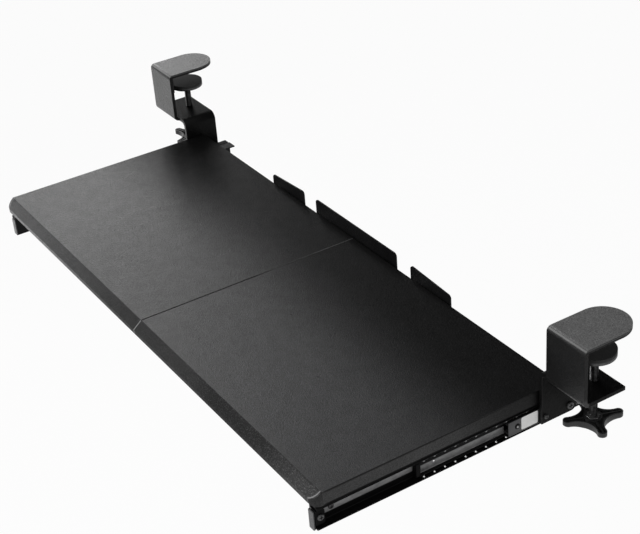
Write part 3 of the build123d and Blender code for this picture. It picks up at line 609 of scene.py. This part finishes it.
OUTER_BALL_RADIUS = 0.00139
INNER_BALL_RADIUS = 0.00094
BALL_ARCS = 8
BALL_TURNS = 14
UPPER_ROW_OUT = 0.0005
UPPER_ROW_DOWN = 0.0005


def add_balls(shell, centres, radius):
    pole = 0.0002 * radius
    arcs = [math.radians(-90 + 180 * k / BALL_ARCS) for k in range(1, BALL_ARCS)]
    profile = [(pole, -radius), *((radius * math.cos(a), radius * math.sin(a)) for a in arcs), (pole, radius)]
    for centre in centres:
        revolve(shell, profile, Matrix.Translation(centre), BALL_TURNS)


def cage_edge(shell, centres, out):
    """The turned edge of the cage beside its upper row of balls: a thin strip, scalloped between balls."""
    overhang, near_face, far_face = 0.0030, 0.00165, 0.00142
    rise, least_height, scallop, steps_per_ball = 0.0002, 0.00035, 0.00030, 8
    upper = sorted((c for c in centres if c.z > RAIL_LEVEL), key=lambda c: c.y)
    x, first, top = upper[0].x, upper[0].y, upper[0].z + rise
    pitch = upper[1].y - first
    start, end = first - overhang, upper[-1].y + overhang
    steps = steps_per_ball * len(upper)
    near, far = [], []
    for step in range(steps + 1):
        y = start + (end - start) * step / steps
        wave = 0.5 + 0.5 * math.cos(2 * math.pi * (y - first) / pitch)
        low = top - least_height - scallop * wave
        near.append([shell.verts.new((x + out * near_face, y, z)) for z in (top, low)])
        far.append([shell.verts.new((x + out * far_face, y, z)) for z in (top, low)])
    for k in range(steps):
        for row in (near, far):
            shell.faces.new((row[k][0], row[k][1], row[k + 1][1], row[k + 1][0]))
        for place in (0, 1):
            shell.faces.new((near[k][place], far[k][place], far[k + 1][place], near[k + 1][place]))
    for k in (0, steps):
        shell.faces.new((near[k][0], near[k][1], far[k][1], far[k][0]))


for side, out in OUTWARD.items():
    cage = f"{side}_outer_cage"
    outer = solid_middles(f"{side}_rail_balls")
    finished_piece(f"{side}_cage_edge", CAGE_EDGE, cage, cage_edge, outer, out, slot="dark_steel")
    # the upper row sits a little proud of the lip; it is in painted shade, darker and duller steel than the
    # lower row
    proud = Vector((out * UPPER_ROW_OUT, 0, -UPPER_ROW_DOWN))
    upper = [c + proud for c in outer if c.z > RAIL_LEVEL]
    lower = [c for c in outer if c.z < RAIL_LEVEL]
    finished_piece(
        f"{side}_shaded_balls", SHADED_BALL_STEEL, cage, add_balls, upper, OUTER_BALL_RADIUS, slot="dark_steel"
    )
    finished_piece(
        f"{side}_rail_balls_round", POLISHED, cage, add_balls, lower, OUTER_BALL_RADIUS,
        replaced=(f"{side}_rail_balls",), slot="bright_steel", smooth=60,
    )
    inner = solid_middles(f"{side}_inner_balls")
    finished_piece(
        f"{side}_inner_balls_round", POLISHED, f"{side}_inner_cage", add_balls, inner, INNER_BALL_RADIUS,
        replaced=(f"{side}_inner_balls",), slot="bright_steel", smooth=60,
    )


# Threads of the clamp screws.

THREAD_RADIUS = 0.00398
THREAD_DEPTH = 0.00062
THREAD_PITCH = 0.00125
THREAD_TURNS = 24
CORE_OVERLAP = 0.00002
ROD_TIP = 0.0006
ROD_FOOT = 0.0008


def add_thread(shell, name):
    """A right-hand thread on a rod: one helical ridge, wound as a grid of rings that climb with the turn."""
    axis = middle_of(name)
    low, high = (corner[2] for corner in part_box(name))
    root = THREAD_RADIUS - THREAD_DEPTH
    # each pair is a share of the pitch and a radius
    ridge = ((0.0, root), (0.13, root), (0.46, THREAD_RADIUS), (0.58, THREAD_RADIUS), (0.90, root))
    rows = int((high - low) / THREAD_PITCH)
    start = low + ((high - low) - rows * THREAD_PITCH) / 2
    total = rows * THREAD_TURNS
    grid = []
    for step in range(total + 1):
        angle = 2 * math.pi * step / THREAD_TURNS
        base = start + THREAD_PITCH * step / THREAD_TURNS
        ends = min(1.0, step / THREAD_TURNS, (total - step) / THREAD_TURNS)
        ring = []
        for share, radius in ridge:
            reach = root + (radius - root) * ends
            level = min(high, max(low, base + (share - 0.5) * THREAD_PITCH))
            spot = (axis.x + reach * math.cos(angle), axis.y + reach * math.sin(angle), level)
            ring.append(shell.verts.new(spot))
        grid.append(ring)
    for here, ahead in zip(grid, grid[1:]):
        for k in range(len(ridge) - 1):
            shell.faces.new((here[k], here[k + 1], ahead[k + 1], ahead[k]))
    core = root + CORE_OVERLAP
    rod = ((core * 0.82, low), (core, low + ROD_TIP), (core, high - ROD_FOOT), (core * 0.80, high))
    revolve(shell, rod, Matrix.Translation((axis.x, axis.y, 0)), THREAD_TURNS)


for side in OUTWARD:
    screw = f"{side}_clamp_screw"
    finished_piece(
        f"{side}_threaded_rod", OILED_ROD, f"{side}_screw", add_thread, screw,
        replaced=(screw,), slot="dark_steel", smooth=40,
    )


# Screw heads and rivets.

SLOT_WIDTH = 0.24
SLOT_DEPTH = 0.62
SLOT_TAPER = 0.72
# each pair is a share of the head's radius and a share of its rise
DOME = ((1.0, 0.0), (0.985, 0.45), (0.90, 0.78), (0.74, 0.95))
# name, CAD node, body, and from front to back the heads' radii, their rise and their slots' lengths
CROSS_HEADS = (
    ("bumper_cross_head", "bumper_screw", "tray", (0.0035,), 0.0014, (0.0042,)),
    ("rail_cross_heads", "rail_screws", "tray", (0.0030, 0.0030), 0.0014, (0.0036, 0.0036)),
    ("side_cross_heads", "side_screws", "clamps", (0.0024, 0.0040), 0.0021, (0.0028, 0.0046)),
)
RIVET_PROFILE = (
    (0.0030, 0.0), (0.0029, 0.0004), (0.0024, 0.0007), (0.0017, 0.00085), (0.0013, 0.0006), (0.0010, 0.00045)
)
SMALL_RIVET_PROFILE = ((0.0012, 0.0), (0.0012, 0.0003), (0.0009, 0.0006), (0.0004, 0.0007))
SMALL_RIVET_OUT, SMALL_RIVET_BACK, SMALL_RIVET_DOWN = 0.0042, 0.0192, 0.0016
WASHER_PROFILE = ((0.0037, 0.0), (0.0037, 0.0003), (0.0034, 0.00042))
HEXAGON_PROFILE = ((0.0031, 0.0004), (0.0031, 0.0016), (0.0027, 0.0019))
HEXAGON_HALF_HEIGHT = 0.00095
ROUND_TURNS = 20
SMALL_TURNS = 16
HEXAGON_TURNS = 6


def cross_head(shell, place, radius, rise, slot_length):
    """A pan head with a cross recess: rings of quads outside, and a tapered plus-shaped pocket inside."""
    half, arm = slot_length * SLOT_WIDTH / 2, slot_length / 2
    corners = [(half, half), (half, arm), (-half, arm), (-half, half), (-arm, half), (-arm, -half),
               (-half, -half), (-half, -arm), (half, -arm), (half, -half), (arm, -half), (arm, half)]
    corners.sort(key=lambda p: math.atan2(p[1], p[0]))
    angles = [math.atan2(y, x) for x, y in corners]
    floor = rise - rise * SLOT_DEPTH
    outlines = []
    for share, level in DOME:
        reach = radius * share
        outlines.append([(reach * math.cos(a), reach * math.sin(a), rise * level) for a in angles])
    outlines.append([(x, y, rise) for x, y in corners])
    outlines.append([(x * SLOT_TAPER, y * SLOT_TAPER, floor) for x, y in corners])
    closed_stack(shell, [[shell.verts.new(place @ Vector(spot)) for spot in outline] for outline in outlines])


def cross_heads(shell, name, out, radii, rise, slot_lengths):
    spots = sorted(solid_middles(name), key=lambda spot: spot.y)
    for spot, radius, slot_length in zip(spots, radii, slot_lengths):
        cross_head(shell, facing(inward_face(name, out), spot.y, spot.z, out), radius, rise, slot_length)


def fixed_rail_rivet(shell, name, out):
    spot = solid_middles(name)[0]
    revolve(shell, RIVET_PROFILE, facing(inward_face(name, out), spot.y, spot.z, out), ROUND_TURNS)


def middle_rail_rivet(shell, side, out):
    """The small rivet near the front of the middle rail, on the outer face of its web."""
    web = inward_face(f"{side}_rail_outer", out) + out * SMALL_RIVET_OUT
    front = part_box(f"{side}_rail_middle")[0][1]
    place = facing(web, front + SMALL_RIVET_BACK, RAIL_LEVEL - SMALL_RIVET_DOWN, out)
    revolve(shell, SMALL_RIVET_PROFILE, place, SMALL_TURNS)


def hexagon_heads(shell):
    """Flanged hexagon heads under the board, each on its own round washer face."""
    for spot in solid_middles("platform_screws"):
        seat = Matrix.Translation((spot.x, spot.y, spot.z + HEXAGON_HALF_HEIGHT))
        place = seat @ Matrix.Rotation(math.pi, 4, "X")
        revolve(shell, WASHER_PROFILE, place, ROUND_TURNS)
        revolve(shell, HEXAGON_PROFILE, place, HEXAGON_TURNS)


for side, out in OUTWARD.items():
    for name, cad, body, radii, rise, slot_lengths in CROSS_HEADS:
        finished_piece(
            f"{side}_{name}", BLACK_OXIDE, body, cross_heads, f"{side}_{cad}", out, radii, rise, slot_lengths,
            replaced=(f"{side}_{cad}",), slot="dark_steel",
        )
    finished_piece(
        f"{side}_rivet_head", RIVET, "clamps", fixed_rail_rivet, f"{side}_rail_rivet", out,
        replaced=(f"{side}_rail_rivet",), slot="dark_steel",
    )
for side, out in OUTWARD.items():
    finished_piece(
        f"{side}_middle_rivet", POLISHED, f"{side}_middle_rail", middle_rail_rivet, side, out,
        slot="bright_steel",
    )
finished_piece(
    "platform_hexagon_heads", BLACK_OXIDE, "tray", hexagon_heads,
    replaced=("platform_screws",), slot="dark_steel",
)


# Weld beads and the label.

WELD_RADIUS = 0.0073
WELD_SIZE = 0.0009
WELD_SWEEP = 0.8
WELD_START = 0.2
WELD_RIPPLE = 0.14
WELD_RIPPLE_TURN = 2.1
WELD_END_SHARE = 0.45
WELD_END_SLOPE = 3.0
WELD_FLATTENING = 0.9
LABEL_FRONT, LABEL_REAR, LABEL_BOTTOM, LABEL_TOP = -0.0215, -0.0020, -0.1113, -0.0975
LABEL_CORNER = 0.0016
LABEL_CORNER_STEPS = 4
LABEL_THICKNESS = 0.00012


def weld_bead(shell, middle, level, start):
    """A short rippled fillet of weld round the nut, under the bottom plate."""
    steps, sides = 18, 6
    rings = []
    for step in range(steps + 1):
        along = step / steps
        angle = start + WELD_SWEEP * along
        ripple = 1 + WELD_RIPPLE * math.sin(step * WELD_RIPPLE_TURN)
        swell = WELD_SIZE * ripple * min(1.0, WELD_END_SHARE + WELD_END_SLOPE * min(along, 1 - along))
        ring = []
        for turn in range(sides):
            a = 2 * math.pi * turn / sides
            reach = WELD_RADIUS + swell * math.cos(a)
            drop = max(0.0, swell * math.sin(a)) * WELD_FLATTENING
            spot = (middle.x + reach * math.cos(angle), middle.y + reach * math.sin(angle), level - drop)
            ring.append(shell.verts.new(spot))
        rings.append(ring)
    bridge(shell, rings)
    shell.faces.new(rings[0])
    shell.faces.new(rings[-1])


def nut_weld(shell, name):
    for third in range(3):
        weld_bead(shell, middle_of(name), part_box(name)[1][2], 2 * math.pi * third / 3 + WELD_START)


def label_sheet(shell):
    """A blank label: a thin sheet with round corners on the right fixed rail."""
    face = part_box("right_rail_fixed")[1][0]
    corners = (
        (LABEL_REAR - LABEL_CORNER, LABEL_TOP - LABEL_CORNER, 0),
        (LABEL_FRONT + LABEL_CORNER, LABEL_TOP - LABEL_CORNER, 90),
        (LABEL_FRONT + LABEL_CORNER, LABEL_BOTTOM + LABEL_CORNER, 180),
        (LABEL_REAR - LABEL_CORNER, LABEL_BOTTOM + LABEL_CORNER, 270),
    )
    rim = []
    for y, z, first in corners:
        for k in range(LABEL_CORNER_STEPS + 1):
            a = math.radians(first + 90 * k / LABEL_CORNER_STEPS)
            rim.append((y + LABEL_CORNER * math.cos(a), z + LABEL_CORNER * math.sin(a)))
    back = [shell.verts.new((face, y, z)) for y, z in rim]
    near = [shell.verts.new((face + LABEL_THICKNESS, y, z)) for y, z in rim]
    shell.faces.new(near)
    shell.faces.new(list(reversed(back)))
    bridge(shell, [back, near])


for side in OUTWARD:
    finished_piece(
        f"{side}_nut_weld", BLACK_COAT, "clamps", nut_weld, f"{side}_clamp_nut", slot="black_steel", smooth=50
    )
finished_piece("right_rail_label", LABEL, "clamps", label_sheet)


# Floor, world, lamps and camera.

FLOOR_LEVEL = -1.30
FLOOR_SIZE = 9.0
FLOOR_GREY = 0.82
FLOOR_GLOW = 0.93
WORLD_LEVEL = 0.78
WORLD_DIMMING = 0.76
REAR_STARTS, REAR_DIM = 0.33, 0.47
# name, place, aim, size and power
LAMPS = (
    ("left_softbox", (-2.1, 0.40, 0.80), (-0.2, -0.1, -0.07), 0.9, 9.0),
    ("low_left_softbox", (-1.45, -0.48, -0.50), (-0.385, 0.0, -0.02), 0.6, 1.2),
    ("front_softbox", (-1.3, -1.7, 1.1), (0, -0.1, -0.1), 0.8, 14.0),
    ("overhead_softbox", (0.3, -0.8, 1.9), (0.2, -0.1, -0.1), 0.5, 4.0),
)
CAMERA_PLACE = (1.2004, -0.7214, 0.7361)
CAMERA_TURN_DEGREES = (59.004, 4.032, 57.366)
CAMERA_LENS_MM = 83.33
SENSOR_WIDTH_MM = 36.0


def floor_sheet():
    """A sheet that glows white to the camera, to glass and in reflections, with a trace of soft shadow."""
    mesh = bpy.data.meshes.new("floor")
    shell = bmesh.new()
    bmesh.ops.create_grid(shell, x_segments=8, y_segments=8, size=FLOOR_SIZE)
    shell.to_mesh(mesh)
    shell.free()
    sheet = bpy.data.objects.new("floor", mesh)
    sheet.location = (0, 0, FLOOR_LEVEL)
    bpy.context.scene.collection.objects.link(sheet)
    f = Finish("pale_floor")
    ray = f.node("ShaderNodeLightPath")
    seen = ray["Is Camera Ray"].at_least(ray["Is Transmission Ray"]).at_least(ray["Is Glossy Ray"])
    matt = f.node("ShaderNodeBsdfDiffuse", {}, {"Color": colour(FLOOR_GREY)})[0]
    glow = f.node("ShaderNodeEmission", {}, {"Color": colour(1.0), "Strength": 1.0})[0]
    both = f.node("ShaderNodeMixShader", {}, {0: seen * FLOOR_GLOW, 1: matt, 2: glow})[0]
    f.node("ShaderNodeOutputMaterial", {}, {"Surface": both})
    mesh.materials.append(f.material)


def studio_world():
    """White to the camera and to glass, a little dimmer as a light, and dim on its rear side."""
    f = Finish("studio", "worlds", "Generated")
    ray = f.node("ShaderNodeLightPath")
    behind = f.y.fade(REAR_STARTS, REAR_DIM)
    seen = ray["Is Camera Ray"].at_least(ray["Is Transmission Ray"])
    level = seen.at_least(WORLD_LEVEL - WORLD_DIMMING * behind)
    sky = f.node("ShaderNodeBackground", {}, {"Color": colour(1.0), "Strength": level})[0]
    f.node("ShaderNodeOutputWorld", {}, {"Surface": sky})
    bpy.context.scene.world = f.material


def lamp(name, place, aim, size, power):
    light = bpy.data.lights.new(name, "AREA")
    light.shape = "SQUARE"
    light.size = size
    light.energy = power
    holder = bpy.data.objects.new(name, light)
    holder.location = place
    holder.rotation_euler = (Vector(aim) - Vector(place)).to_track_quat("-Z", "Y").to_euler()
    bpy.context.scene.collection.objects.link(holder)


floor_sheet()
studio_world()
for values in LAMPS:
    lamp(*values)

lens = bpy.data.cameras.new("photo_angle")
lens.lens = CAMERA_LENS_MM
lens.sensor_width = SENSOR_WIDTH_MM
lens.sensor_fit = "HORIZONTAL"
lens.dof.use_dof = False
lens.clip_start = 0.01
camera = bpy.data.objects.new("photo_angle", lens)
camera.location = CAMERA_PLACE
camera.rotation_euler = Euler([math.radians(a) for a in CAMERA_TURN_DEGREES], "XYZ")
bpy.context.scene.collection.objects.link(camera)
bpy.context.scene.camera = camera
bpy.context.scene.view_settings.view_transform = "Standard"
